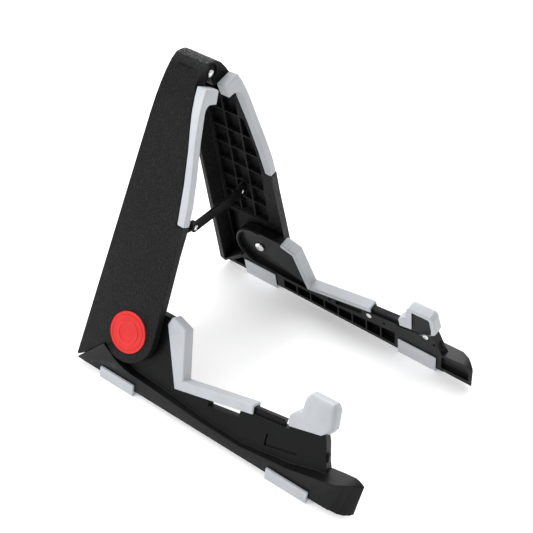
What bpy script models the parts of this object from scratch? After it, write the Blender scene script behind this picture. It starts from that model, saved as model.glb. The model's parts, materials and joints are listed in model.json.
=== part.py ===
"""A folding A-frame guitar stand: two side panels hinged at the top, each with a foot arm that carries the guitar.

Run it with: blender --background --python part.py
Lengths are millimetres until a mesh is made. A point on one side is (n, y, t): n is the distance outwards from the
plane through the hinge pin, y runs from front (negative) to back, and t runs down along the panel from the pin.
"""
import math

import bpy
import bmesh
from mathutils import Vector

MM = 0.001

# Whole stand
LEAN = math.radians(21.0)       # each side's lean from upright with the stand open
PIN_HEIGHT = 279.0              # hinge pin axis above the floor
STAND_Y = 116.25                # the hinge's front end behind the middle of the footprint
GAP = 0.3                       # air between pieces that touch

# Side panels
PANEL_OUT = 26.0                # outer face
PANEL_SKIN = 2.5                # wall thickness
PANEL_RIM = 16.9                # inner rim of the front edge and the lobe
PANEL_BACK = 31.5               # back edge at the outer face
BACK_DRAFT = 5.5                # how far the back wall leans out towards its rim
PANEL_FRONT = [(-3.3, 11.0), (-8.1, 31.0), (-17.4, 65.0), (-24.6, 98.0), (-30.0, 131.5)]
LOWER_FRONT = [(-38.0, 131.5), (-39.0, 160.0), (-42.0, 203.0)]
PAD_FRONT = [(-14.4, 10.0), (-18.6, 34.0), (-23.0, 56.0), (-31.5, 90.0), (-36.0, 112.0), (-38.0, 131.0)]
RIB = 1.8                       # rib thickness
RIB_TOP = 18.4                  # inner edge of the ribs
RIB_ROW = 24.0                  # spacing of the ribs down the panel
RIB_COLUMNS = [-25.0, -7.0, 11.0, 29.0]

# Top hinge
PIN_R = 2.0
PIN_HEAD_R = 3.6
APEX_R = 10.5                   # outer skin over the hinge
SHOULDER_T = 50.0               # where the flat outer face starts to curve over towards the hinge
BARREL_R = 8.2
HINGE_FRONT = 1.0
HINGE_BACK = 36.5
BARREL_SPLITS = [9.6, 27.0]     # where the left panel's two barrels leave room for the right panel's one

# Arm pivot
PIVOT_Y = -15.5
PIVOT_T = 245.0
LOBE_R = 29.0
HEAD_R = 28.0
BOSS_R = 11.0
BOLT_R = 3.0
DISC_R = 20.0

NUT_IN = 20.5                   # inner face of the nut on the pivot bolt
NUT_R = 5.8
DISC_IN = 25.3                  # inner face of the red disc
WASHER_THICK = 1.0

# Foot arms
CRADLE = [(-49.5, 213.6), (-67.2, 219.4), (-81.4, 264.2), (-155.2, 248.2)]     # rubber surface
PAD_THICK = 3.2
LIP = 9.5                       # how far the cradle pad reaches down the arm's outer side
INNER_LIP = 5.5                 # and down its inner side
LEDGE = [(-44.0, 277.0), (-118.0, 276.0), (-236.0, 263.5)]      # top of the hollows on the inner side
WEB_IN = 4.8
WEB_OUT = 14.4
HEAD_RIM = 3.4                  # inner edge of the rim round the arm's head
PAD_IN = 3.0                    # inner and outer faces of the rubber on the arms
PAD_OUT = 16.2
ARM_CLEAR = 4.8                 # underside of the arm above the floor
HEEL_Y = 37.0
POST = [(-193.2, 250.5), (-191.7, 241.6), (-196.2, 236.3), (-202.3, 235.9), (-200.6, 226.0), (-200.6, 219.6),
        (-202.8, 215.9), (-222.8, 215.1), (-225.5, 217.6), (-228.0, 232.4), (-226.8, 241.0)]
STOP = [(-190.4, 249.7), (-188.5, 240.6), (-194.6, 233.2), (-199.1, 232.9), (-197.8, 226.0), (-197.8, 218.0),
        (-201.1, 213.1), (-224.1, 212.1), (-228.2, 215.7), (-231.8, 232.9), (-229.8, 237.7), (-223.8, 241.8)]
# the skirt: y, height of its crease above the floor, distance of the crease and of the foot from the middle
SKIRT = [(HEEL_Y, 40.0, 122.0, 122.0), (2.0, 40.0, 122.0, 122.0), (-8.0, 30.0, 122.0, 122.0),
         (-20.0, 24.5, 122.0, 122.0), (-30.0, 22.7, 122.0, 122.0), (-63.0, 21.0, 122.0, 122.0),
         (-111.0, 17.0, 122.0, 122.0), (-156.0, 16.0, 122.0, 122.0), (-189.0, 21.0, 122.0, 122.0),
         (-205.0, 23.0, 122.0, 122.0), (-230.0, 30.0, 122.0, 122.0), (-252.0, 33.0, 119.0, 121.5),
         (-261.0, 34.0, 113.0, 120.5), (-266.0, 33.5, 108.0, 118.5), (-270.0, 32.0, 104.0, 115.0),
         (-272.0, 31.0, 101.5, 111.5)]
FOOT_PADS = {"rear_foot_pad": (-35.0, 6.0), "front_foot_pad": (-232.0, -188.0)}
FOOT_OUT = 124.6                # outer face of the foot pads, from the middle

# screws on the arm's inner face: (y, t), head radius, shank end
SCREW_SPOTS = {
    "cradle_screw": ((-153.5, 262.4), 3.2, 12.0),
    "stop_screw": ((-219.5, 248.6), 3.3, 12.0),
    "small_screw": ((-104.0, 271.7), 1.7, 10.0),
}
EMPTY_HOLES = [(-171.0, 264.0), (-229.0, 256.5)]

# Folding brace
BRACE_N = 15.0                  # the brace's pivot on each panel
BRACE_T = 172.0
BRACE_DROP = 164.0              # the middle pivot's depth below the hinge pin
BRACE_R = 5.5
BRACE_THICK = 3.0
BRACE_LAYERS = (0.4, 3.7)       # front and rear layer, where each link or lug starts
RIVET_R = 1.5
RIVET_HEAD_R = 2.9

COLOURS = {
    "grained_plastic": ((0.016, 0.016, 0.017), 0.55, 0.0),
    "plastic": ((0.018, 0.018, 0.019), 0.38, 0.0),
    "rubber": ((0.62, 0.65, 0.68), 0.6, 0.0),
    "red": ((0.72, 0.055, 0.05), 0.35, 0.0),
    "steel": ((0.75, 0.75, 0.76), 0.22, 1.0),
    "dark_steel": ((0.09, 0.09, 0.095), 0.4, 1.0),
    "washer": ((0.7, 0.68, 0.62), 0.5, 0.0),
}


# ---- placing ----

class Side:
    """One side of the stand: sign +1 is right (+X), -1 is left."""

    def __init__(self, name, sign):
        self.name = name
        self.sign = sign
        self.hinge = make_empty(name + "_panel_axis", None, (0.0, STAND_Y, PIN_HEIGHT), -sign * LEAN)
        self.pivot = make_empty(name + "_arm_axis", self, (0.0, PIVOT_Y, PIVOT_T))
        self.brace = make_empty(name + "_brace_axis", self, (BRACE_N, 0.0, BRACE_T))


def make_empty(name, side, place, turn=0.0):
    """An axis marker. With a side, place is (n, y, t) and the marker is parented to that side's hinge."""
    marker = bpy.data.objects.new(name, None)
    bpy.context.collection.objects.link(marker)
    if side is None:
        marker.location = Vector(place) * MM
        marker.rotation_euler = (0.0, turn, 0.0)
    else:
        marker.parent = side.hinge
        marker.location = Vector((side.sign * place[0], place[1], -place[2])) * MM
    return marker


def material(slot):
    found = bpy.data.materials.get(slot)
    if found:
        return found
    colour, roughness, metallic = COLOURS[slot]
    made = bpy.data.materials.new(slot)
    made.use_nodes = True
    surface = made.node_tree.nodes["Principled BSDF"]
    surface.inputs["Base Color"].default_value = (*colour, 1.0)
    surface.inputs["Roughness"].default_value = roughness
    surface.inputs["Metallic"].default_value = metallic
    made.diffuse_color = (*colour, 1.0)
    return made


# ---- outlines and solids ----

def arc(centre, radius, start, end, steps):
    """Points on an arc; the angle is measured from the first coordinate towards the second, in degrees."""
    points = []
    for step in range(steps + 1):
        angle = math.radians(start + (end - start) * step / steps)
        points.append((centre[0] + radius * math.cos(angle), centre[1] + radius * math.sin(angle)))
    return points


def across(outline, low, high):
    """Two rings of a (y, t) outline at two values of n."""
    return [[(n, y, t) for y, t in outline] for n in (low, high)]


def along(outline, low, high):
    """Two rings of an (n, t) outline at two values of y."""
    return [[(n, y, t) for n, t in outline] for y in (low, high)]


def turned(centre, profile, steps, axis):
    """Rings of a turned shape. profile is (position along the axis, radius); axis is "n" or "y"."""
    rings = []
    for place, radius in profile:
        points = arc(centre, radius, 0.0, 360.0 * (steps - 1) / steps, steps - 1)
        if axis == "n":
            rings.append([(place, y, t) for y, t in points])
        else:
            rings.append([(n, place, t) for n, t in points])
    return rings


def build(name, side, rings_list, slot, owner=None, origin=(0.0, 0.0, 0.0), hoop=False):
    """A mesh object from one or more capped lofts (or hoops), hung on the side's hinge or on another marker."""
    mesh = bmesh.new()
    for rings in rings_list:
        made = []
        for ring in rings:
            made.append([mesh.verts.new(local(side, point, origin)) for point in ring])
        if hoop:
            made.append(made[0])
        for first, second in zip(made, made[1:]):
            for index in range(len(first)):
                after = (index + 1) % len(first)
                mesh.faces.new((first[index], first[after], second[after], second[index]))
        if not hoop:
            mesh.faces.new(made[0])
            mesh.faces.new(made[-1])
    bmesh.ops.recalc_face_normals(mesh, faces=mesh.faces)
    data = bpy.data.meshes.new(name)
    mesh.to_mesh(data)
    mesh.free()
    obj = bpy.data.objects.new(name, data)
    bpy.context.collection.objects.link(obj)
    obj.parent = owner or side.hinge
    if slot:
        data.materials.append(material(slot))
    else:
        obj.hide_render = True
        obj.display_type = "WIRE"
        obj.hide_set(True)
    return obj


def local(side, point, origin):
    n, y, t = (point[i] - origin[i] for i in range(3))
    return Vector((side.sign * n, y, -t)) * MM


def combine(target, operation, tool):
    step = target.modifiers.new(tool.name, "BOOLEAN")
    step.operation = operation
    step.solver = "EXACT"
    step.object = tool


def cut(target, tool):
    combine(target, "DIFFERENCE", tool)


def join(target, tool):
    combine(target, "UNION", tool)


def keep(target, tool):
    combine(target, "INTERSECT", tool)


# ---- side panels ----

def skin_profile(inset):
    """The panel's skin from the lobe up and over the hinge, as (n, t) points, moved inwards by inset."""
    out = PANEL_OUT - inset
    top = -APEX_R * math.cos(LEAN) + inset
    edge = APEX_R * math.sin(LEAN) + 0.2
    points = [(out, 310.0)]
    for step in range(7):
        angle = math.radians(90.0 - 15.0 * step)
        reach = out - edge
        points.append((edge + reach * math.sin(angle), SHOULDER_T - (SHOULDER_T - top) * math.cos(angle)))
    return points


def panel_outline(back_shift, front_shift, flare, corner):
    """The panel's (y, t) outline: shifts of the back edge and the front edge's top, and the bottom back corner."""
    back = PANEL_BACK + back_shift
    # the underside runs straight towards the arm's pivot, where it stops the arm's heel
    drop = PIVOT_T - PIVOT_Y
    points = [(back, -20.0), (back, 40.0)]
    back += flare
    points += [(back, drop + back - corner), (back - corner * 0.7, drop + back - corner * 0.7)]
    points += arc((PIVOT_Y, PIVOT_T), LOBE_R, 45.0, 180.0, 12)
    points += list(reversed(LOWER_FRONT))
    points += list(reversed(PANEL_FRONT[1:]))
    points.append((PANEL_FRONT[0][0] + front_shift, PANEL_FRONT[0][1]))
    points.append((PANEL_FRONT[0][0] + front_shift, -20.0))
    return points


def panel_body(side):
    """The outer solid: the skin's profile, trimmed to the panel's outline."""
    name = side.name + "_side_panel"
    profile = skin_profile(0.0) + [(0.2, 0.1), (0.5, 0.6), (0.5, 310.0)]
    body = build(name, side, [along(profile, -60.0, 60.0)], "grained_plastic")
    rings = [[(0.0, y, t) for y, t in panel_outline(BACK_DRAFT, 4.3, 2.6, 9.0)]]
    rings.append([(PANEL_OUT + 5.0, y, t) for y, t in panel_outline(-1.0, 0.0, 0.0, 1.0)])
    keep(body, build(name + "_outline", side, [rings], None))
    return body


def hollow_panel(side, body):
    """Opens the panel's inner side, leaving a deep back wall, a shallow front edge and a rib lattice."""
    name = body.name
    inner = PANEL_BACK - PANEL_SKIN
    drop = PIVOT_T - PIVOT_Y
    wall = PANEL_SKIN * math.sqrt(2.0)
    reach = 30.3 / math.sqrt(2.0)

    def clearance(back):
        return [(-80.0, 15.0), (back, 15.0), (back, drop + back - wall),
                (PIVOT_Y + reach + 1.5, PIVOT_T + reach + 1.5 - wall), (PIVOT_Y + reach, PIVOT_T + reach),
                (0.0, 320.0), (-80.0, 320.0)]

    rings = [[(-5.0, y, t) for y, t in clearance(inner + BACK_DRAFT)]]
    rings.append([(PANEL_RIM, y, t) for y, t in clearance(inner + 1.5)])
    cut(body, build(name + "_opening", side, [rings], None))

    cut(body, build(name + "_shelf", side, [across(shelf_outline(), PANEL_RIM - 5.0, RIB_TOP)], None))
    cells = [across(outline, PANEL_RIM - 1.0, PANEL_OUT) for outline in cell_outlines()]
    tool = build(name + "_cells", side, cells, None)
    inner_skin = skin_profile(PANEL_SKIN) + [(0.0, 0.0), (0.0, 310.0)]
    keep(tool, build(name + "_inner_skin", side, [along(inner_skin, -60.0, 60.0)], None))
    cut(body, tool)


def front_edge(t):
    """The panel's front edge at a height, from its list of corners."""
    line = PANEL_FRONT + LOWER_FRONT + [(-44.5, 243.0)]
    for (y0, t0), (y1, t1) in zip(line, line[1:]):
        if t0 < t1 and t0 <= t <= t1:
            return y0 + (y1 - y0) * (t - t0) / (t1 - t0)
    return line[0][0]


def shelf_outline():
    """The region inside the front edge and the back wall where the ribs stand a little below the rim."""
    points = [(PANEL_BACK - PANEL_SKIN, 17.0), (PANEL_BACK - PANEL_SKIN, 211.0)]
    for t in (211.0, 170.0, 134.0, 131.0, 98.0, 65.0, 31.0, 17.0):
        edge = front_edge(t)
        if t == 134.0:
            edge = PANEL_FRONT[-1][0]
        points.append((edge + PANEL_SKIN + 0.4, t))
    return points


def cell_outlines():
    """The pockets between the ribs: rows of three columns, clipped to the sloping front edge."""
    outlines = []
    inner = PANEL_BACK - PANEL_SKIN
    for row in range(8):
        top = 19.0 + row * RIB_ROW
        bottom = top + RIB_ROW - RIB
        for column in range(3):
            front = RIB_COLUMNS[column] + RIB * 0.5
            back = min(RIB_COLUMNS[column + 1] - RIB * 0.5, inner - 0.4)
            upper = max(front, front_edge(top) + PANEL_SKIN + 0.6)
            lower = max(front, front_edge(bottom) + PANEL_SKIN + 0.6)
            if upper < back - 3.0:
                outlines.append([(upper, top), (back, top), (back, bottom), (lower, bottom)])
    outlines.append([(17.5, 217.0), (28.6, 217.0), (28.6, 282.0), (13.5, 267.0), (17.5, 252.0)])
    return outlines


def add_lobe(side, body):
    """The round lobe: a pocket with a boss inside it, the bolt hole, and seats for the nut and the disc."""
    name = body.name
    centre = (PIVOT_Y, PIVOT_T)
    pocket = turned(centre, [(PANEL_RIM - 5.0, LOBE_R - 2.6), (PANEL_OUT - PANEL_SKIN, LOBE_R - 2.6)], 32, "n")
    cut(body, build(name + "_lobe_pocket", side, [pocket], None))
    boss = turned(centre, [(WEB_OUT + WASHER_THICK + 2.0 * GAP, BOSS_R), (PANEL_OUT - 2.0, BOSS_R)], 24, "n")
    join(body, build(name + "_boss", side, [boss], None))
    bores = [(5.0, BOLT_R + 0.1), (NUT_IN - GAP, BOLT_R + 0.1), (NUT_IN - GAP, NUT_R + 0.8),
             (DISC_IN - GAP, NUT_R + 0.8), (DISC_IN - GAP, DISC_R + 0.35), (40.0, DISC_R + 0.35)]
    cut(body, build(name + "_bores", side, [turned(centre, bores, 32, "n")], None))


def add_hinge(side, body):
    """Barrels round the hinge pin, with room for the other panel's, and the pin's bore."""
    name = body.name
    first = BARREL_SPLITS[0] - GAP * 0.5
    second = BARREL_SPLITS[1] + GAP * 0.5
    if side.sign < 0:
        room = [(first, second)]
        own = [(HINGE_FRONT, first), (second, HINGE_BACK)]
    else:
        room = [(-30.0, first + GAP), (second - GAP, 60.0)]
        own = [(first + GAP, second - GAP)]
    for index, (low, high) in enumerate(room):
        space = turned((0.0, 0.0), [(low, BARREL_R + 0.5), (high, BARREL_R + 0.5)], 24, "y")
        cut(body, build(name + "_barrel_room" + str(index), side, [space], None))
    for index, (low, high) in enumerate(own):
        barrel = turned((0.0, 0.0), [(low, BARREL_R), (high, BARREL_R)], 24, "y")
        join(body, build(name + "_barrel" + str(index), side, [barrel], None))
    bore = turned((0.0, 0.0), [(-30.0, PIN_R + 0.1), (60.0, PIN_R + 0.1)], 16, "y")
    cut(body, build(name + "_pin_bore", side, [bore], None))


def add_lug(side, body):
    """The lug inside the panel that carries its brace link, and room in the ribs for the folded link."""
    layer = 0 if side.sign < 0 else 1
    low = BRACE_LAYERS[layer]
    centre = (BRACE_N, BRACE_T)
    room = [(-0.4, 150.0), (7.5, 150.0), (7.5, BRACE_T + 7.0), (-0.4, BRACE_T + 7.0)]
    cut(body, build(body.name + "_link_room", side, [across(room, PANEL_RIM - 5.0, RIB_TOP + 1.6)], None))
    outline = arc(centre, BRACE_R, 110.0, 250.0, 8) + [(PANEL_OUT - 1.2, BRACE_T - 9.0),
                                                      (PANEL_OUT - 1.2, BRACE_T + 9.0)]
    join(body, build(body.name + "_lug", side, [along(outline, low, low + BRACE_THICK)], None))
    bore = turned(centre, [(-9.0, RIVET_R + 0.1), (20.0, RIVET_R + 0.1)], 12, "y")
    cut(body, build(body.name + "_rivet_bore", side, [bore], None))


def add_window(side, body):
    """A shallow latch window in the outer skin beside the hinge."""
    centre = (18.4, 3.4)
    slope = math.radians(60.0)
    outline = []
    for a, b in ((-5.0, -1.0), (5.0, -1.0), (5.0, 6.0), (-5.0, 6.0)):
        outline.append((centre[0] + a * math.cos(slope) + b * math.sin(slope),
                        centre[1] + a * math.sin(slope) - b * math.cos(slope)))
    cut(body, build(body.name + "_window", side, [along(outline, 10.0, 25.0)], None))


def side_panel(side):
    body = panel_body(side)
    hollow_panel(side, body)
    add_lobe(side, body)
    add_hinge(side, body)
    add_lug(side, body)
    add_window(side, body)
    return body


def back_pad(side):
    """Rubber along the panel's front edge, wider where it hooks under the hinge."""
    behind = [(y - GAP, t) for y, t in PANEL_FRONT]
    behind[-1] = (behind[-1][0], 131.0)
    outline = PAD_FRONT + list(reversed(behind))
    pad = build(side.name + "_back_pad", side, [across(outline, 0.0, PANEL_OUT + 1.0)], "rubber")
    front = [(18.4, 9.2), (19.8, 9.8)] + list(reversed(skin_profile(0.2)[:5])) + [(PANEL_RIM, 310.0)]
    front += arc((PANEL_RIM - 9.0, 32.5), 9.0, 0.0, -75.0, 5)
    front += [(0.9, 23.0), (0.9, 10.6)]
    keep(pad, build(side.name + "_back_pad_profile", side, [along(front, -60.0, 20.0)], None))
    return pad


# ---- foot arms ----

def offset_line(points, distance):
    """An open (y, t) line moved sideways, to the right of its direction of travel."""
    moved = []
    for (y0, t0), (y1, t1) in zip(points, points[1:]):
        length = math.hypot(y1 - y0, t1 - t0)
        shift = (-(t1 - t0) / length * distance, (y1 - y0) / length * distance)
        moved.append(((y0 + shift[0], t0 + shift[1]), (y1 + shift[0], t1 + shift[1])))
    result = [moved[0][0]]
    for (p0, p1), (q0, q1) in zip(moved, moved[1:]):
        result.append(crossing(p0, p1, q0, q1))
    result.append(moved[-1][1])
    return result


def crossing(p0, p1, q0, q1):
    ry, rt = p1[0] - p0[0], p1[1] - p0[1]
    sy, st = q1[0] - q0[0], q1[1] - q0[1]
    share = ((q0[0] - p0[0]) * st - (q0[1] - p0[1]) * sy) / (ry * st - rt * sy)
    return (p0[0] + share * ry, p0[1] + share * rt)


def floor_point(x, z):
    """The (n, t) place of a point given by its distance from the middle and its height above the floor."""
    drop = z - PIN_HEIGHT
    return (x * math.cos(LEAN) + drop * math.sin(LEAN), x * math.sin(LEAN) - drop * math.cos(LEAN))


def below(height, n):
    """The t of a point given by its height above the floor and its n."""
    return (PIN_HEIGHT - height + n * math.sin(LEAN)) / math.cos(LEAN)


def closed_offset(points, distance):
    """A closed (y, t) outline moved sideways by distance all round."""
    ring = [points[-1]] + points + [points[0], points[1]]
    moved = offset_line(ring, distance)
    return moved[1:-2]


def web_outline():
    """The arm's plate: round head, pillar, cradle floor, end post and heel."""
    centre = (PIVOT_Y, PIVOT_T)
    points = arc(centre, HEAD_R, 40.0, -90.0, 14)
    points += offset_line(CRADLE, -PAD_THICK)[:3]
    points += [(CRADLE[3][0] - 0.6, CRADLE[3][1] + PAD_THICK), (-156.4, 257.0), (-193.2, 252.2)]
    points += POST
    points += [(-229.8, 246.0), (-235.8, 262.0), (-240.0, 271.0), (-240.0, 303.0), (HEEL_Y, 303.0)]
    points.append((HEEL_Y, HEEL_Y + PIVOT_T - PIVOT_Y - 2.0))
    return points


def skirt():
    """Sections of the flared foot of the arm, from the heel to the rounded toe."""
    rings = []
    for y, height, crease, foot in SKIRT:
        inner = WEB_IN + 0.4 if y > -240.0 else WEB_IN
        section = [(inner, below(2.0, inner)), floor_point(foot, 2.0), floor_point(crease, height)]
        section.append((inner, below(height, inner)))
        rings.append([(n, y, t) for n, t in section])
    return rings


def recess_outline():
    """The recess in the arm's head, and the channel that runs from it under the pillar."""
    points = arc((PIVOT_Y, PIVOT_T), HEAD_R - 2.4, 80.0, -90.0, 16)
    points += [(-38.0, 221.0), (-26.0, 246.0), (-60.0, 261.5), (-80.0, 267.0), (-80.0, 273.0), (-44.0, 273.6)]
    return points


def arm_cells():
    """Hollows on the inner side of the arm, below the ledge, with ribs between them."""
    outlines = []
    for index in range(8):
        front = -61.0 - 17.5 * index
        back = front + 15.9
        top_front, top_back = (ledge(y) + 1.6 for y in (front, back))
        outlines.append([(front, top_front), (back, top_back), (back, 291.0), (front, 291.0)])
    outlines.append([(8.5, 275.0), (24.0, 290.5), (8.5, 290.5)])
    return outlines


def ledge(y):
    for (y0, t0), (y1, t1) in zip(LEDGE, LEDGE[1:]):
        if y1 <= y <= y0:
            return t0 + (t1 - t0) * (y - y0) / (y1 - y0)
    return LEDGE[0][1]


def slit(start, end, width):
    """A thin (y, t) rectangle between two points."""
    length = math.hypot(end[0] - start[0], end[1] - start[1])
    across_y = -(end[1] - start[1]) / length * width * 0.5
    across_t = (end[0] - start[0]) / length * width * 0.5
    return [(start[0] + across_y, start[1] + across_t), (end[0] + across_y, end[1] + across_t),
            (end[0] - across_y, end[1] - across_t), (start[0] - across_y, start[1] - across_t)]


def foot_arm(side):
    name = side.name + "_foot_arm"
    centre = (PIVOT_Y, PIVOT_T)
    origin = (0.0, PIVOT_Y, PIVOT_T)
    arm = build(name, side, [across(web_outline(), WEB_IN, WEB_OUT)], "plastic", side.pivot, origin)
    rim = arc(centre, HEAD_R - 0.15, -100.0, 95.0, 16) + arc(centre, HEAD_R - 2.0, 95.0, -100.0, 16)
    rail = [(-154.0, 259.0), (-154.0, 251.6), (-187.0, 247.0), (-187.0, 256.0)]
    join(arm, build(name + "_skirt", side, [skirt()], None))
    join(arm, build(name + "_rim", side, [across(rim, HEAD_RIM, 7.0)], None))
    join(arm, build(name + "_rail", side, [across(rail, 6.8, 12.4)], None))
    clip = [(-233.0, 254.0), (-235.6, 254.8), (-237.4, 262.0), (-234.0, 262.0)]
    join(arm, build(name + "_clip", side, [across(clip, 9.2, 12.6)], None))
    cut_arm(side, arm, centre)
    return arm


def cut_arm(side, arm, centre):
    name = arm.name
    cut(arm, build(name + "_recess", side, [across(recess_outline(), 0.0, 9.0)], None))
    cut(arm, build(name + "_hollows", side, [across(outline, 0.0, 11.4) for outline in arm_cells()], None))
    toe = [(-237.5, 271.0), (-264.0, 270.0), (-268.0, 274.0), (-268.0, 289.0), (-237.5, 290.5)]
    cut(arm, build(name + "_toe_recess", side, [across(toe, 0.0, 8.5)], None))
    slot = [(-112.0, 267.6), (-144.0, 260.7), (-144.0, 267.6), (-112.0, 273.2)]
    cut(arm, build(name + "_slot", side, [across(slot, 0.0, 20.0)], None))
    slits = [slit((-176.0, 267.0), (-177.0, 277.9), 2.0), slit((-176.2, 277.4), (-208.0, 269.6), 2.0)]
    for index, outline in enumerate(slits):
        cut(arm, build(name + "_slit" + str(index), side, [across(outline, WEB_OUT - 2.2, 22.0)], None))
    inner = slit((-185.5, 255.4), (-212.0, 249.3), 1.6)
    cut(arm, build(name + "_inner_slit", side, [across(inner, 0.0, WEB_IN + 1.8)], None))
    # room for the panel's lobe, the stop face on the heel, the underside and the bores
    lobe = turned(centre, [(WEB_OUT + 0.3, LOBE_R + 0.6), (45.0, LOBE_R + 0.6)], 40, "n")
    cut(arm, build(name + "_lobe_room", side, [lobe], None))
    stop = arc(centre, HEAD_R + 0.7, 45.9, -60.0, 14) + [(80.0, 150.0), (80.0, 80.64 + PIVOT_T - PIVOT_Y)]
    cut(arm, build(name + "_heel_stop", side, [across(stop, -5.0, 45.0)], None))
    under = [floor_point(-50.0, ARM_CLEAR), floor_point(250.0, ARM_CLEAR)]
    under += [floor_point(250.0, -80.0), floor_point(-50.0, -80.0)]
    cut(arm, build(name + "_underside", side, [along(under, -320.0, 80.0)], None))
    bores = [[turned(centre, [(-5.0, BOLT_R + 0.1), (30.0, BOLT_R + 0.1)], 32, "n")]]
    for spot, radius, depth in SCREW_SPOTS.values():
        bores.append([turned(spot, [(0.0, radius * 0.5 + 0.1), (depth + 0.6, radius * 0.5 + 0.1)], 12, "n")])
    for spot in EMPTY_HOLES:
        bores.append([turned(spot, [(0.0, 1.6), (9.0, 1.6)], 10, "n")])
    for index, rings_list in enumerate(bores):
        cut(arm, build(name + "_bore" + str(index), side, rings_list, None))


def pad_outline(inset):
    """The cradle pad's outline with its rubber surface and its ends moved inwards, and its end corners rounded."""
    line = offset_line(CRADLE, -inset)
    lip = offset_line(CRADLE, -LIP)
    top = shifted(line[0], line[1], inset)
    low = shifted(line[3], line[2], inset)
    top_lip = (lip[0][0] + top[0] - line[0][0], lip[0][1] + top[1] - line[0][1])
    low_lip = (lip[3][0] + low[0] - line[3][0], lip[3][1] + low[1] - line[3][1])
    outline = [shifted(top, top_lip, 2.4), shifted(shifted(top, line[1], 0.7), top_lip, 0.7)]
    outline += [shifted(top, line[1], 2.4), line[1], line[2]]
    outline += [shifted(low, line[2], 0.9), shifted(low, low_lip, 0.9)]
    return outline + [low_lip, lip[2], top_lip]


def shifted(point, towards, distance):
    """A (y, t) point moved towards another one."""
    length = math.hypot(towards[0] - point[0], towards[1] - point[1])
    return tuple(a + (b - a) * distance / length for a, b in zip(point, towards))


def cradle_pad(side):
    """A rubber channel clipped over the pillar and the cradle floor."""
    name = side.name + "_cradle_pad"
    origin = (0.0, PIVOT_Y, PIVOT_T)
    rings = [[(n, y, t) for y, t in pad_outline(inset)]
             for n, inset in ((PAD_IN, 0.7), (PAD_IN + 0.7, 0.0), (14.3, 0.0), (15.6, 0.5), (PAD_OUT, 1.5))]
    pad = build(name, side, [rings], "rubber", side.pivot, origin)
    inside = offset_line(CRADLE, -PAD_THICK + GAP)
    far = offset_line(CRADLE, -LIP - 8.0)
    first = (inside[0][0] + 20.0, inside[0][1] - 6.5)
    last = (inside[3][0] - 20.0, inside[3][1] - 4.3)
    room = [first] + inside[1:3] + [last, (last[0], far[3][1]), far[2], (first[0], far[1][1])]
    cut(pad, build(name + "_room", side, [across(room, WEB_IN - GAP, WEB_OUT + GAP)], None))
    shallow = offset_line(CRADLE, -INNER_LIP)
    start = (shallow[0][0] + 20.0, shallow[0][1] - 6.5)
    end = (shallow[3][0] - 20.0, shallow[3][1] - 4.3)
    trim = [start] + shallow[1:3] + [end, (end[0], 300.0), (start[0], 300.0)]
    cut(pad, build(name + "_trim", side, [across(trim, 0.0, WEB_IN)], None))
    return pad


def stop_outline(inset):
    """The end stop's outline moved inwards, apart from its straight lower edge."""
    ring = closed_offset(STOP, -inset)
    run = (STOP[0][0] - STOP[-1][0], STOP[0][1] - STOP[-1][1])
    length = math.hypot(*run)
    for index in (0, -1):
        y, t = ring[index]
        ring[index] = (y - run[1] / length * inset, t + run[0] / length * inset)
    return ring


def end_stop(side):
    """A hollow rubber cap over the end post."""
    name = side.name + "_end_stop"
    origin = (0.0, PIVOT_Y, PIVOT_T)
    rings = [[(n, y, t) for y, t in stop_outline(inset)]
             for n, inset in ((PAD_IN, 0.5), (PAD_IN + 0.5, 0.0), (11.9, 0.0), (14.0, 0.7), (15.4, 1.9), (PAD_OUT, 3.6))]
    cap = build(name, side, [rings], "rubber", side.pivot, origin)
    room = closed_offset(POST + [(-226.8, 265.0), (-193.2, 265.0)], GAP)
    cut(cap, build(name + "_room", side, [across(room, WEB_IN - GAP, WEB_OUT + GAP)], None))
    window = [(-204.0, 262.0), (-204.0, 219.0), (-205.0, 217.8), (-221.8, 217.0), (-223.8, 218.6),
              (-226.2, 233.0), (-225.0, 262.0)]
    cut(cap, build(name + "_window", side, [across(window, 0.0, WEB_IN + 1.0)], None))
    return cap


def foot_pads(side):
    """Rubber shoes under the arm, wrapping up both of its sides."""
    inner = WEB_IN - GAP
    origin = (0.0, PIVOT_Y, PIVOT_T)
    section = [floor_point(111.4, 0.0), floor_point(FOOT_OUT - 0.7, 0.0), floor_point(FOOT_OUT, 0.8)]
    section += [floor_point(FOOT_OUT, 13.0), floor_point(122.3, 13.0), floor_point(122.3, ARM_CLEAR - GAP)]
    section += [(inner, below(ARM_CLEAR - GAP, inner)), (inner, 276.0), (PAD_IN + 0.2, 276.0)]
    section.append((PAD_IN + 0.2, below(0.9, PAD_IN + 0.2)))
    for label, (front, back) in FOOT_PADS.items():
        build(side.name + "_" + label, side, [along(section, front, back)], "rubber", side.pivot, origin)


# ---- hardware ----

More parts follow.
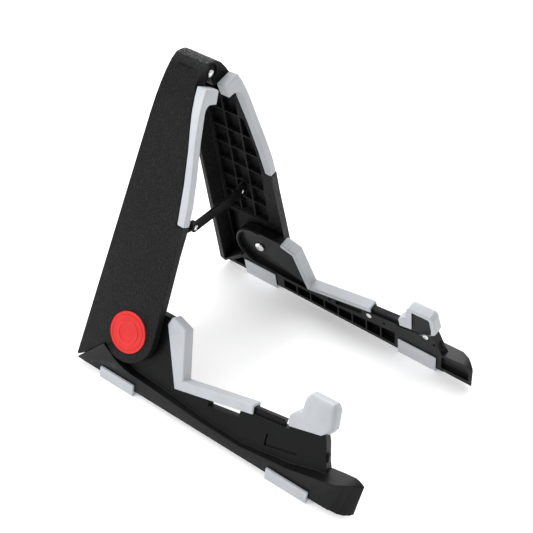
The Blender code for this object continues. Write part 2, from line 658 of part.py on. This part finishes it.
def pivot_hardware(side):
    """Disc, nut, washer and bolt at the arm's pivot. The arm turns; these stay with the panel."""
    centre = (PIVOT_Y, PIVOT_T)
    disc = [(DISC_IN, DISC_R), (DISC_IN + 1.2, DISC_R), (DISC_IN + 1.6, DISC_R - 0.5), (DISC_IN + 1.6, 12.0)]
    disc += [(DISC_IN + 2.1, 11.6), (DISC_IN + 2.1, 9.4), (DISC_IN + 1.6, 9.0)]
    build(side.name + "_disc_cap", side, [turned(centre, disc, 48, "n")], "red")
    ring = [(WEB_OUT + GAP, 10.0), (WEB_OUT + GAP + WASHER_THICK, 10.0)]
    ring += [(WEB_OUT + GAP + WASHER_THICK, BOLT_R + 0.3), (WEB_OUT + GAP, BOLT_R + 0.3)]
    build(side.name + "_friction_washer", side, [turned(centre, ring, 24, "n")], "washer", hoop=True)
    nut = build(side.name + "_pivot_nut", side, [turned(centre, [(NUT_IN, NUT_R), (NUT_IN + 4.0, NUT_R)], 6, "n")],
                "steel")
    bore = turned(centre, [(NUT_IN - 5.0, BOLT_R + 0.1), (NUT_IN + 9.0, BOLT_R + 0.1)], 16, "n")
    cut(nut, build(side.name + "_nut_bore", side, [bore], None))
    bolt = [(5.2, 3.6), (5.9, 5.1), (8.6, 5.6), (8.6, BOLT_R), (24.9, BOLT_R)]
    build(side.name + "_pivot_bolt", side, [turned(centre, bolt, 32, "n")], "steel")


def arm_screws(side):
    origin = (0.0, PIVOT_Y, PIVOT_T)
    for label, (spot, radius, depth) in SCREW_SPOTS.items():
        head = WEB_IN - GAP
        profile = [(head - 1.3, radius * 0.45), (head - 1.1, radius * 0.75), (head - 0.5, radius), (head, radius)]
        profile += [(head, radius * 0.5), (depth, radius * 0.5)]
        slot = "dark_steel" if label == "small_screw" else "steel"
        build(side.name + "_" + label, side, [turned(spot, profile, 12, "n")], slot, side.pivot, origin)


def brace(side):
    """One link of the folding brace, the rivet that holds it to its lug, and its half of the middle rivet."""
    rear = 1 if side.sign < 0 else 0
    low = BRACE_LAYERS[rear]
    start = (BRACE_N, BRACE_T)
    middle = (-BRACE_DROP * math.sin(LEAN), BRACE_DROP * math.cos(LEAN))
    origin = (BRACE_N, 0.0, BRACE_T)
    heading = math.degrees(math.atan2(middle[1] - start[1], middle[0] - start[0]))
    outline = arc(start, BRACE_R, heading + 90.0, heading + 270.0, 10)
    outline += arc(middle, BRACE_R, heading - 90.0, heading + 90.0, 10)
    link = build(side.name + "_brace_link", side, [along(outline, low, low + BRACE_THICK)], "dark_steel",
                 side.brace, origin)
    for index, centre in enumerate((start, middle)):
        bore = turned(centre, [(-9.0, RIVET_R + 0.1), (20.0, RIVET_R + 0.1)], 12, "y")
        cut(link, build(link.name + "_bore" + str(index), side, [bore], None))
    front = BRACE_LAYERS[0] - GAP
    back = BRACE_LAYERS[1] + BRACE_THICK + GAP
    heads = [(front - 1.1, RIVET_HEAD_R * 0.6), (front - 0.6, RIVET_HEAD_R), (front, RIVET_HEAD_R)]
    tails = [(back, RIVET_HEAD_R), (back + 0.6, RIVET_HEAD_R), (back + 1.1, RIVET_HEAD_R * 0.6)]
    whole = heads + [(front, RIVET_R), (back, RIVET_R)] + tails
    build(side.name + "_brace_rivet", side, [turned(start, whole, 12, "y")], "steel")
    split = BRACE_LAYERS[1] - GAP * 0.5
    half = heads + [(front, RIVET_R), (split - 0.1, RIVET_R)]
    if rear:
        half = [(split + 0.1, RIVET_R), (back, RIVET_R)] + tails
    build(side.name + "_middle_rivet", side, [turned(middle, half, 12, "y")], "steel", side.brace, origin)


def hinge_pin(side):
    """The pin through both panels' barrels, and the cap pressed on its far end."""
    centre = (0.0, 0.0)
    pin = [(-2.1, 2.0), (-1.7, 3.0), (-0.8, PIN_HEAD_R), (0.1, PIN_HEAD_R), (0.1, PIN_R), (38.0, PIN_R)]
    build("hinge_pin", side, [turned(centre, pin, 16, "y")], "steel")
    cap = build("hinge_pin_cap", side, [turned(centre, [(37.4, 3.6), (38.6, 3.6), (39.2, 2.8)], 16, "y")], "plastic")
    cut(cap, build("pin_cap_bore", side, [turned(centre, [(30.0, 2.1), (38.2, 2.1)], 16, "y")], None))


def make_side(name, sign):
    side = Side(name, sign)
    side_panel(side)
    back_pad(side)
    pivot_hardware(side)
    foot_arm(side)
    cradle_pad(side)
    end_stop(side)
    foot_pads(side)
    arm_screws(side)
    brace(side)
    return side


def clear():
    for obj in list(bpy.data.objects):
        bpy.data.objects.remove(obj)


clear()
left = make_side("left", -1)
right = make_side("right", 1)
hinge_pin(left)
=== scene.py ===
"""The looks of the folding guitar stand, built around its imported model."""
import json
import math

import bpy
import bmesh
from mathutils import Matrix, Vector

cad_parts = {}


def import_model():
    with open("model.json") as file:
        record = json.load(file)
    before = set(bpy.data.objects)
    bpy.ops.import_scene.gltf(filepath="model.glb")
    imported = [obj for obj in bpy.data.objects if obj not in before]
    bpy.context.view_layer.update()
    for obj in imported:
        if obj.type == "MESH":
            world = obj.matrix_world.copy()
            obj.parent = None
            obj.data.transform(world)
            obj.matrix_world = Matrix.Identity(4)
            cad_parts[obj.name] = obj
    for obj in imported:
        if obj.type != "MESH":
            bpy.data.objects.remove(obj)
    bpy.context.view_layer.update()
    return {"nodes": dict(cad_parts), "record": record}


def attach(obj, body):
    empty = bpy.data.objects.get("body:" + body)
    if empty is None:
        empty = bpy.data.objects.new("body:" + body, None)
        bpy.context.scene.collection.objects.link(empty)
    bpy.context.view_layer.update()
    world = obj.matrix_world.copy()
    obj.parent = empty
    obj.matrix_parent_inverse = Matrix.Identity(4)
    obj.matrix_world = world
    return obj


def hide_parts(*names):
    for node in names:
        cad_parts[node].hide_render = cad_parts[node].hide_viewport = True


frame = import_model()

NODES = frame["nodes"]
SIDES = (("left", -1.0), ("right", 1.0))
scene = bpy.context.scene


# ---- node helpers ----

class Shader:
    """A material's node tree, with short calls for the nodes used here."""

    def __init__(self, name):
        self.material = bpy.data.materials.new(name)
        self.material.use_nodes = True
        self.tree = self.material.node_tree
        self.surface = self.tree.nodes["Principled BSDF"]
        self.coords = self.tree.nodes.new("ShaderNodeTexCoord").outputs["Object"]

    def node(self, kind, **settings):
        made = self.tree.nodes.new(kind)
        for key, value in settings.items():
            setattr(made, key, value)
        return made

    def link(self, output, socket):
        self.tree.links.new(output, socket)

    def noise(self, scale, detail=3.0, roughness=0.5, coords=None, distortion=0.0):
        made = self.node("ShaderNodeTexNoise")
        made.inputs["Scale"].default_value = scale
        made.inputs["Detail"].default_value = detail
        made.inputs["Roughness"].default_value = roughness
        made.inputs["Distortion"].default_value = distortion
        self.link(coords or self.coords, made.inputs["Vector"])
        return made.outputs["Fac"]

    def cells(self, scale, feature):
        made = self.node("ShaderNodeTexVoronoi", feature=feature)
        made.inputs["Scale"].default_value = scale
        self.link(self.coords, made.inputs["Vector"])
        return made.outputs["Distance"]

    def stretch(self, amounts):
        made = self.node("ShaderNodeMapping")
        made.inputs["Scale"].default_value = amounts
        self.link(self.coords, made.inputs["Vector"])
        return made.outputs["Vector"]

    def ramp(self, value, low, high, out_low=0.0, out_high=1.0):
        made = self.node("ShaderNodeMapRange")
        made.inputs["From Min"].default_value = low
        made.inputs["From Max"].default_value = high
        made.inputs["To Min"].default_value = out_low
        made.inputs["To Max"].default_value = out_high
        self.link(value, made.inputs["Value"])
        return made.outputs["Result"]

    def math(self, operation, first, second):
        made = self.node("ShaderNodeMath", operation=operation)
        for index, value in enumerate((first, second)):
            if isinstance(value, float):
                made.inputs[index].default_value = value
            else:
                self.link(value, made.inputs[index])
        return made.outputs["Value"]

    def blend(self, factor, first, second):
        made = self.node("ShaderNodeMix", data_type="RGBA")
        self.link(factor, made.inputs["Factor"])
        for socket, value in (("A", first), ("B", second)):
            target = [i for i in made.inputs if i.name == socket and i.type == "RGBA"][0]
            if isinstance(value, tuple):
                target.default_value = (*value, 1.0)
            else:
                self.link(value, target)
        return [o for o in made.outputs if o.type == "RGBA"][0]

    def worn(self, low=0.52, high=0.62):
        """Where an edge stands proud, 0 to 1, broken up so that it looks rubbed rather than painted."""
        edge = self.ramp(self.node("ShaderNodeNewGeometry").outputs["Pointiness"], low, high)
        return self.math("MULTIPLY", edge, self.ramp(self.noise(160.0, 4.0, 0.6), 0.35, 0.65))

    def bump(self, layers):
        """Stacked bumps; each layer is (height, strength, distance in metres)."""
        normal = None
        for height, strength, distance in layers:
            made = self.node("ShaderNodeBump")
            made.inputs["Strength"].default_value = strength
            made.inputs["Distance"].default_value = distance
            self.link(height, made.inputs["Height"])
            if normal:
                self.link(normal, made.inputs["Normal"])
            normal = made.outputs["Normal"]
        self.link(normal, self.surface.inputs["Normal"])

    def finish(self, colour, roughness, **constants):
        self.link(colour, self.surface.inputs["Base Color"])
        self.link(roughness, self.surface.inputs["Roughness"])
        for key, value in constants.items():
            self.surface.inputs[key.replace("_", " ")].default_value = value
        return self.material


# ---- materials ----

def grained_plastic():
    """Black moulded plastic with a pebbled leather grain, with painted shade in the grain's crevices and a
    painted highlight on its raised spots.
    """
    s = Shader("grained_plastic")
    pebbles = s.cells(560.0, "SMOOTH_F1")
    creases = s.cells(560.0, "DISTANCE_TO_EDGE")
    large = s.noise(22.0, 4.0, 0.55)
    raised_grain_and_highlight = s.noise(430.0, 3.0, 0.6)
    fine = s.noise(3200.0, 3.0, 0.6)
    height = s.math("ADD", s.ramp(creases, 0.0, 0.30), s.ramp(pebbles, 0.0, 0.9, 0.6, 0.0))
    height = s.math("ADD", height, s.ramp(raised_grain_and_highlight, 0.3, 0.7, 0.0, 0.7))
    tone = s.blend(s.ramp(large, 0.3, 0.7), (0.0022, 0.0024, 0.0028), (0.0036, 0.0038, 0.0043))
    # painted highlight: the grain's raised spots are painted lighter, in patches that vary at random
    tone = s.blend(s.ramp(raised_grain_and_highlight, 0.45, 0.66), tone, (0.0080, 0.0083, 0.0090))
    # painted shade: the crevices between the pebbles are painted darker
    tone = s.blend(s.ramp(creases, 0.0, 0.22, 1.0, 0.0), tone, (0.0010, 0.0011, 0.0013))
    tone = s.blend(s.worn(0.515, 0.60), tone, (0.030, 0.031, 0.034))
    rough = s.math("ADD", s.ramp(large, 0.25, 0.75, 0.38, 0.46), s.ramp(raised_grain_and_highlight, 0.3, 0.7, 0.05, -0.05))
    s.bump([(height, 0.85, 0.0005), (fine, 0.15, 0.00006)])
    return s.finish(tone, rough, Specular_IOR_Level=0.16)


def smooth_plastic():
    """Black moulded plastic with a fine spark-eroded satin."""
    s = Shader("plastic")
    large = s.noise(30.0, 4.0, 0.55)
    satin = s.noise(2600.0, 4.0, 0.65)
    flow = s.noise(9.0, 2.0, 0.5, s.stretch((1.0, 0.25, 1.0)))
    tone = s.blend(s.ramp(large, 0.3, 0.7), (0.0022, 0.0024, 0.0028), (0.0036, 0.0038, 0.0043))
    tone = s.blend(s.worn(0.52, 0.61), tone, (0.030, 0.031, 0.034))
    rough = s.math("ADD", s.ramp(flow, 0.3, 0.7, 0.34, 0.44), s.ramp(satin, 0.3, 0.7, -0.04, 0.05))
    s.bump([(satin, 0.22, 0.00006), (s.noise(60.0, 2.0, 0.5), 0.10, 0.0004)])
    return s.finish(tone, rough, Specular_IOR_Level=0.15)


def rubber(name="rubber", ridges=False):
    """Soft light grey elastomer, matt, with a faint bloom and handling marks."""
    s = Shader(name)
    cloud = s.noise(45.0, 4.0, 0.6)
    grain = s.noise(2400.0, 4.0, 0.7)
    smudge = s.noise(14.0, 5.0, 0.62, None, 0.6)
    tone = s.blend(s.ramp(cloud, 0.3, 0.7), (0.42, 0.44, 0.465), (0.475, 0.495, 0.52))
    tone = s.blend(s.ramp(smudge, 0.56, 0.80, 0.0, 0.45), tone, (0.385, 0.40, 0.425))
    tone = s.blend(s.ramp(grain, 0.30, 0.48, 0.30, 0.0), tone, (0.34, 0.355, 0.38))
    rough = s.math("ADD", s.ramp(smudge, 0.3, 0.7, 0.50, 0.40), s.ramp(grain, 0.3, 0.7, -0.05, 0.05))
    layers = [(grain, 0.30, 0.00008), (s.noise(90.0, 2.0, 0.5), 0.12, 0.0003)]
    if ridges:
        wave = s.node("ShaderNodeTexWave", wave_type="BANDS", bands_direction="Z", wave_profile="SIN")
        wave.inputs["Scale"].default_value = 160.0
        wave.inputs["Distortion"].default_value = 0.0
        s.link(s.coords, wave.inputs["Vector"])
        layers.append((wave.outputs["Fac"], 0.55, 0.0004))
    s.bump(layers)
    return s.finish(tone, rough, Subsurface_Weight=0.06, Subsurface_Scale=0.002)


def red_plastic():
    s = Shader("red")
    cloud = s.noise(50.0, 3.0, 0.5)
    grain = s.noise(2200.0, 4.0, 0.65)
    tone = s.blend(s.ramp(cloud, 0.3, 0.7), (0.56, 0.010, 0.009), (0.64, 0.016, 0.014))
    tone = s.blend(s.worn(0.52, 0.62), tone, (0.78, 0.09, 0.075))
    rough = s.math("ADD", s.ramp(cloud, 0.3, 0.7, 0.34, 0.42), s.ramp(grain, 0.3, 0.7, -0.04, 0.05))
    s.bump([(grain, 0.25, 0.00006)])
    return s.finish(tone, rough, Specular_IOR_Level=0.35)


def bright_steel():
    """Nickel-plated steel with turning marks and small handling scratches."""
    s = Shader("steel")
    cloud = s.noise(300.0, 4.0, 0.6)
    scratch = s.noise(900.0, 3.0, 0.7, s.stretch((1.0, 14.0, 1.0)))
    tone = s.blend(s.ramp(cloud, 0.3, 0.7), (0.66, 0.66, 0.67), (0.80, 0.80, 0.79))
    rough = s.math("ADD", s.ramp(cloud, 0.3, 0.7, 0.14, 0.26), s.ramp(scratch, 0.4, 0.7, 0.0, 0.10))
    s.bump([(scratch, 0.12, 0.00004)])
    return s.finish(tone, rough, Metallic=1.0)


def black_steel():
    """Blackened steel strip, thinly coated and slightly orange-peeled."""
    s = Shader("dark_steel")
    cloud = s.noise(120.0, 4.0, 0.6)
    peel = s.noise(1500.0, 3.0, 0.6)
    tone = s.blend(s.ramp(cloud, 0.3, 0.7), (0.0040, 0.0041, 0.0045), (0.0075, 0.0075, 0.008))
    tone = s.blend(s.worn(0.53, 0.63), tone, (0.16, 0.16, 0.165))
    rough = s.math("ADD", s.ramp(cloud, 0.3, 0.7, 0.26, 0.38), s.ramp(peel, 0.3, 0.7, -0.04, 0.05))
    s.bump([(peel, 0.20, 0.00006)])
    return s.finish(tone, rough, Specular_IOR_Level=0.2)


def nylon():
    s = Shader("washer")
    cloud = s.noise(200.0, 4.0, 0.6)
    tone = s.blend(s.ramp(cloud, 0.3, 0.7), (0.62, 0.60, 0.54), (0.72, 0.70, 0.64))
    rough = s.ramp(s.noise(1500.0, 3.0, 0.6), 0.3, 0.7, 0.42, 0.58)
    s.bump([(cloud, 0.15, 0.0001)])
    return s.finish(tone, rough, Subsurface_Weight=0.1, Subsurface_Scale=0.002)


MATERIALS = {"grained_plastic": grained_plastic(), "plastic": smooth_plastic(), "rubber": rubber(),
             "red": red_plastic(), "steel": bright_steel(), "dark_steel": black_steel(), "washer": nylon()}
RIDGED = rubber("rubber_ridged", True)
SLOTS = {entry["node"]: entry["material_slot"] for entry in frame["record"]["subparts"]}


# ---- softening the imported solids' edges ----

CREASE = math.radians(33.0)     # edges sharper than this are bevelled and shaded as edges
# bevel widths, in metres
EDGES = {"side_panel": 0.0005, "foot_arm": 0.00045, "cradle_pad": 0.0007, "end_stop": 0.0006,
         "back_pad": 0.0012, "rear_foot_pad": 0.0006, "front_foot_pad": 0.0006, "brace_link": 0.0004,
         "friction_washer": 0.0002, "pivot_nut": 0.0004, "hinge_pin_cap": 0.0003}


def smoothing_group():
    """Geometry nodes that shade smooth, apart from edges sharper than a limit."""
    group = bpy.data.node_groups.new("smooth_by_angle", "GeometryNodeTree")
    group.interface.new_socket("Geometry", in_out="INPUT", socket_type="NodeSocketGeometry")
    group.interface.new_socket("Geometry", in_out="OUTPUT", socket_type="NodeSocketGeometry")
    start = group.nodes.new("NodeGroupInput")
    end = group.nodes.new("NodeGroupOutput")
    faces = group.nodes.new("GeometryNodeSetShadeSmooth")
    faces.domain = "FACE"
    edges = group.nodes.new("GeometryNodeSetShadeSmooth")
    edges.domain = "EDGE"
    angle = group.nodes.new("GeometryNodeInputMeshEdgeAngle")
    limit = group.nodes.new("FunctionNodeCompare")
    limit.operation = "LESS_THAN"
    limit.inputs[1].default_value = CREASE
    group.links.new(start.outputs[0], faces.inputs["Geometry"])
    group.links.new(faces.outputs[0], edges.inputs["Geometry"])
    group.links.new(angle.outputs["Unsigned Angle"], limit.inputs[0])
    group.links.new(limit.outputs[0], edges.inputs["Shade Smooth"])
    group.links.new(edges.outputs[0], end.inputs[0])
    return group


SMOOTH = smoothing_group()


def soften(obj, width):
    """Welds and bevels an object with modifiers, so its mesh stays as it was packed."""
    weld = obj.modifiers.new("weld", "WELD")
    weld.merge_threshold = 0.00001      # the import splits vertices along sharp edges
    if width:
        bevel = obj.modifiers.new("bevel", "BEVEL")
        bevel.width = width
        bevel.segments = 3
        bevel.limit_method = "ANGLE"
        bevel.angle_limit = CREASE
        bevel.use_clamp_overlap = False
        bevel.miter_outer = "MITER_ARC"
    finish(obj)


def finish(obj):
    """Shades an object smooth between its creases."""
    smooth = obj.modifiers.new("smooth", "NODES")
    smooth.node_group = SMOOTH
    weighted = obj.modifiers.new("weighted", "WEIGHTED_NORMAL")
    weighted.keep_sharp = True


def paint(obj, material):
    obj.data.materials.clear()
    obj.data.materials.append(material)


for node, obj in NODES.items():
    paint(obj, RIDGED if node.endswith("foot_pad") else MATERIALS[SLOTS[node]])
    kind = node.split("_", 1)[1] if node.split("_", 1)[0] in ("left", "right") else node
    soften(obj, EDGES.get(kind, 0.0))


# ---- turned pieces: disc caps, bolt, screws and rivets ----

LEAN = math.radians(21.0)       # each panel's lean from upright at rest
BODY = {node: body for body, nodes in frame["record"]["behaviour"]["bodies"].items() for node in nodes}
DISC_RADIUS = 0.0200
RING_RISE = 0.0005              # the disc's raised ring above its face
GROOVE = 0.00035                # depth of the groove round the disc's edge
RIVET_RADIUS = 0.0015
RIVET_HEAD = 0.0029
RIVET_RISE = 0.0011
PIN_RADIUS = 0.0020
PIN_HEAD = 0.0036
# for each screw: the head's radius and height, and the shank's radius
SCREWS = {"pivot_bolt": (0.0056, 0.0034, 0.0030), "cradle_screw": (0.0032, 0.0013, 0.0016),
          "stop_screw": (0.0033, 0.0013, 0.00165), "small_screw": (0.0017, 0.0013, 0.00085)}


def axis_of(node, direction):
    """A turned node's axis: a point on it, and how far the node reaches along it each way from that point."""
    points = [v.co.copy() for v in NODES[node].data.vertices]
    middle = sum(points, Vector()) / len(points)
    reach = [(p - middle).dot(direction) for p in points]
    return middle, min(reach), max(reach)


def lathe(name, profile, steps):
    """A solid of revolution about Z from (radius, height) points, closed at both ends."""
    mesh = bmesh.new()
    rings = []
    for radius, height in profile:
        ring = []
        for index in range(steps):
            angle = 2.0 * math.pi * index / steps
            ring.append(mesh.verts.new((radius * math.cos(angle), radius * math.sin(angle), height)))
        rings.append(ring)
    for lower, upper in zip(rings, rings[1:]):
        for index in range(steps):
            after = (index + 1) % steps
            mesh.faces.new((lower[index], lower[after], upper[after], upper[index]))
    mesh.faces.new(list(reversed(rings[0])))
    mesh.faces.new(rings[-1])
    data = bpy.data.meshes.new(name)
    mesh.to_mesh(data)
    mesh.free()
    obj = bpy.data.objects.new(name, data)
    scene.collection.objects.link(obj)
    return obj


def recess(obj, radius, top, depth):
    """Cuts a tapered cross into the top of a screw head."""
    mesh = bmesh.new()
    for quarter in range(2):
        turn = Matrix.Rotation(math.pi * 0.5 * quarter, 4, "Z")
        corners = []
        for height, length, width in ((top - depth, radius * 0.22, radius * 0.10),
                                      (top + 0.0005, radius * 0.62, radius * 0.15)):
            for x, y in ((-length, -width), (length, -width), (length, width), (-length, width)):
                corners.append(mesh.verts.new(turn @ Vector((x, y, height))))
        for face in ((3, 2, 1, 0), (4, 5, 6, 7), (0, 1, 5, 4), (1, 2, 6, 5), (2, 3, 7, 6), (3, 0, 4, 7)):
            mesh.faces.new([corners[i] for i in face])
    data = bpy.data.meshes.new("recess")
    mesh.to_mesh(data)
    mesh.free()
    cutter = bpy.data.objects.new("recess", data)
    scene.collection.objects.link(cutter)
    step = obj.modifiers.new("recess", "BOOLEAN")
    step.operation = "DIFFERENCE"
    step.solver = "EXACT"
    step.use_self = True
    step.object = cutter
    bpy.context.view_layer.update()
    cut = bpy.data.meshes.new_from_object(obj.evaluated_get(bpy.context.evaluated_depsgraph_get()))
    obj.modifiers.clear()
    obj.data = cut
    bpy.data.objects.remove(cutter)


def rounded_corner(radius, height, fillet, steps=6):
    """The rounded outer corner of a disc: from its side up to its top face."""
    points = []
    for index in range(steps + 1):
        angle = math.pi * 0.5 * index / steps
        points.append((radius - fillet + fillet * math.cos(angle),
                       height - fillet + fillet * math.sin(angle)))
    return points


def dome(radius, low, rise, steps=7):
    """A shallow dome over a rim of the given radius, as (radius, height) points up to its crown."""
    points = []
    for index in range(steps + 1):
        angle = math.pi * 0.5 * index / steps
        points.append((max(radius * math.cos(angle), radius * 0.02), low + rise * math.sin(angle)))
    return points


def disc_shape(low, high):
    """A cap with a rounded rim, a fine groove and a plain raised ring."""
    face = high - RING_RISE
    profile = [(DISC_RADIUS - 0.0008, low), (DISC_RADIUS, low + 0.0002)]
    profile += rounded_corner(DISC_RADIUS, face, 0.0007)
    profile += [(0.0174, face), (0.0172, face - GROOVE), (0.0168, face - GROOVE), (0.0166, face)]
    profile += [(0.0120, face), (0.01175, face + 0.00035), (0.0113, high), (0.0097, high)]
    profile += [(0.00925, face + 0.00035), (0.0090, face), (0.0003, face - 0.0002)]
    return lathe("disc", profile, 96)


def pan_head(low, top, radius, rise, shank):
    """A pan-head screw, head up, with a cross recess."""
    seat = top - rise
    profile = [(shank * 0.55, low), (shank, low + shank * 0.6), (shank, seat), (radius, seat)]
    profile += dome(radius, seat + rise * 0.35, rise * 0.65, 10)
    obj = lathe("screw", profile, 48)
    recess(obj, radius, top, rise * 0.55 + 0.0005)
    return obj


def rivet_shape(low, high, ends):
    """A rivet whose domed heads sit at the chosen ends."""
    profile = []
    if "low" in ends:
        inner = low + RIVET_RISE
        crown = reversed(dome(RIVET_HEAD, inner, RIVET_RISE))
        profile += [(radius, 2.0 * inner - height) for radius, height in crown]
        profile += [(RIVET_HEAD, inner), (RIVET_RADIUS, inner)]
    else:
        profile += [(RIVET_RADIUS - 0.0002, low), (RIVET_RADIUS, low + 0.0002)]
    if "high" in ends:
        inner = high - RIVET_RISE
        profile += [(RIVET_RADIUS, inner), (RIVET_HEAD, inner)] + dome(RIVET_HEAD, inner, RIVET_RISE)
    else:
        profile += [(RIVET_RADIUS, high - 0.0002), (RIVET_RADIUS - 0.0002, high)]
    return lathe("rivet", profile, 40)


def pin_shape(low, high):
    """The hinge pin, with its domed head up."""
    profile = [(PIN_RADIUS - 0.0004, low), (PIN_RADIUS, low + 0.0004)]
    profile += [(PIN_RADIUS, high - 0.0022), (PIN_HEAD, high - 0.0022)]
    return lathe("pin", profile + dome(PIN_HEAD, high - 0.0017, 0.0017, 10), 48)


def place(obj, node, middle, direction):
    """Sets a lathe piece on its node's axis and lets it stand for that node."""
    obj.name = node + "_look"
    obj.matrix_world = Matrix.Translation(middle) @ direction.to_track_quat("Z", "Y").to_matrix().to_4x4()
    paint(obj, MATERIALS[SLOTS[node]])
    finish(obj)
    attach(obj, BODY[node])
    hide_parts(node)


FORWARD = Vector((0.0, -1.0, 0.0))
for side, sign in SIDES:
    outward = Vector((sign * math.cos(LEAN), 0.0, math.sin(LEAN)))
    node = side + "_disc_cap"
    middle, low, high = axis_of(node, outward)
    place(disc_shape(low, high), node, middle, outward)
    for label, sizes in SCREWS.items():
        node = side + "_" + label
        middle, low, high = axis_of(node, -outward)
        place(pan_head(low, high, *sizes), node, middle, -outward)
    middle_end = "low" if side == "left" else "high"
    for label, ends in (("brace_rivet", ("low", "high")), ("middle_rivet", (middle_end,))):
        node = side + "_" + label
        middle, low, high = axis_of(node, FORWARD)
        place(rivet_shape(low, high, ends), node, middle, FORWARD)
middle, low, high = axis_of("hinge_pin", FORWARD)
place(pin_shape(low, high), "hinge_pin", middle, FORWARD)


# ---- stage ----

def backdrop():
    """A pale floor that glows a little, which keeps the stand's shadow faint."""
    mesh = bmesh.new()
    bmesh.ops.create_grid(mesh, x_segments=1, y_segments=1, size=60.0)
    data = bpy.data.meshes.new("floor")
    mesh.to_mesh(data)
    mesh.free()
    floor = bpy.data.objects.new("floor", data)
    scene.collection.objects.link(floor)
    s = Shader("floor")
    tone = s.blend(s.ramp(s.noise(3.0, 2.0, 0.5), 0.3, 0.7), (0.93, 0.93, 0.935), (0.945, 0.945, 0.95))
    s.surface.inputs["Emission Color"].default_value = (1.0, 1.0, 1.0, 1.0)
    s.surface.inputs["Emission Strength"].default_value = 0.30
    paint(floor, s.finish(tone, s.ramp(s.noise(40.0, 2.0, 0.5), 0.3, 0.7, 0.75, 0.85)))


def lamp(name, place, target, size, power):
    """A round soft light aimed at a point."""
    data = bpy.data.lights.new(name, "AREA")
    data.shape = "DISK"
    data.size = size
    data.energy = power
    obj = bpy.data.objects.new(name, data)
    obj.location = place
    obj.rotation_euler = (Vector(target) - Vector(place)).to_track_quat("-Z", "Y").to_euler()
    scene.collection.objects.link(obj)


def sun(name, towards, strength, angle):
    """A broad, even light from the direction given."""
    data = bpy.data.lights.new(name, "SUN")
    data.energy = strength
    data.angle = math.radians(angle)
    obj = bpy.data.objects.new(name, data)
    obj.rotation_euler = Vector(towards).to_track_quat("Z", "Y").to_euler()
    scene.collection.objects.link(obj)


def camera():
    """The product view: from the front left, looking down at the stand."""
    right = Vector((0.58336, -0.80421, 0.11376))
    forward = Vector((0.69684, 0.42361, -0.57877))
    place = Vector((-0.7115, -0.40115, 0.7033))
    data = bpy.data.cameras.new("camera")
    data.sensor_width = 36.0
    data.lens = 73.72
    data.clip_start = 0.02
    obj = bpy.data.objects.new("camera", data)
    up = right.cross(forward)
    turn = Matrix((right, up, -forward)).transposed().to_4x4()
    turn.translation = place
    obj.matrix_world = turn
    scene.collection.objects.link(obj)
    scene.camera = obj


def world():
    """An even white surround."""
    sky = bpy.data.worlds.new("world")
    sky.use_nodes = True
    background = sky.node_tree.nodes["Background"]
    background.inputs["Color"].default_value = (1.0, 1.0, 1.0, 1.0)
    background.inputs["Strength"].default_value = 0.62
    scene.world = sky


backdrop()
camera()
world()
sun("key", (0.30, 0.30, 0.90), 1.45, 65.0)
lamp("side", (-0.72, 0.50, 0.66), (-0.03, 0.12, 0.24), 0.36, 4.6)
lamp("back", (0.95, 0.42, 0.62), (0.1, -0.12, 0.03), 0.5, 5.0)
scene.view_settings.view_transform = "Standard"
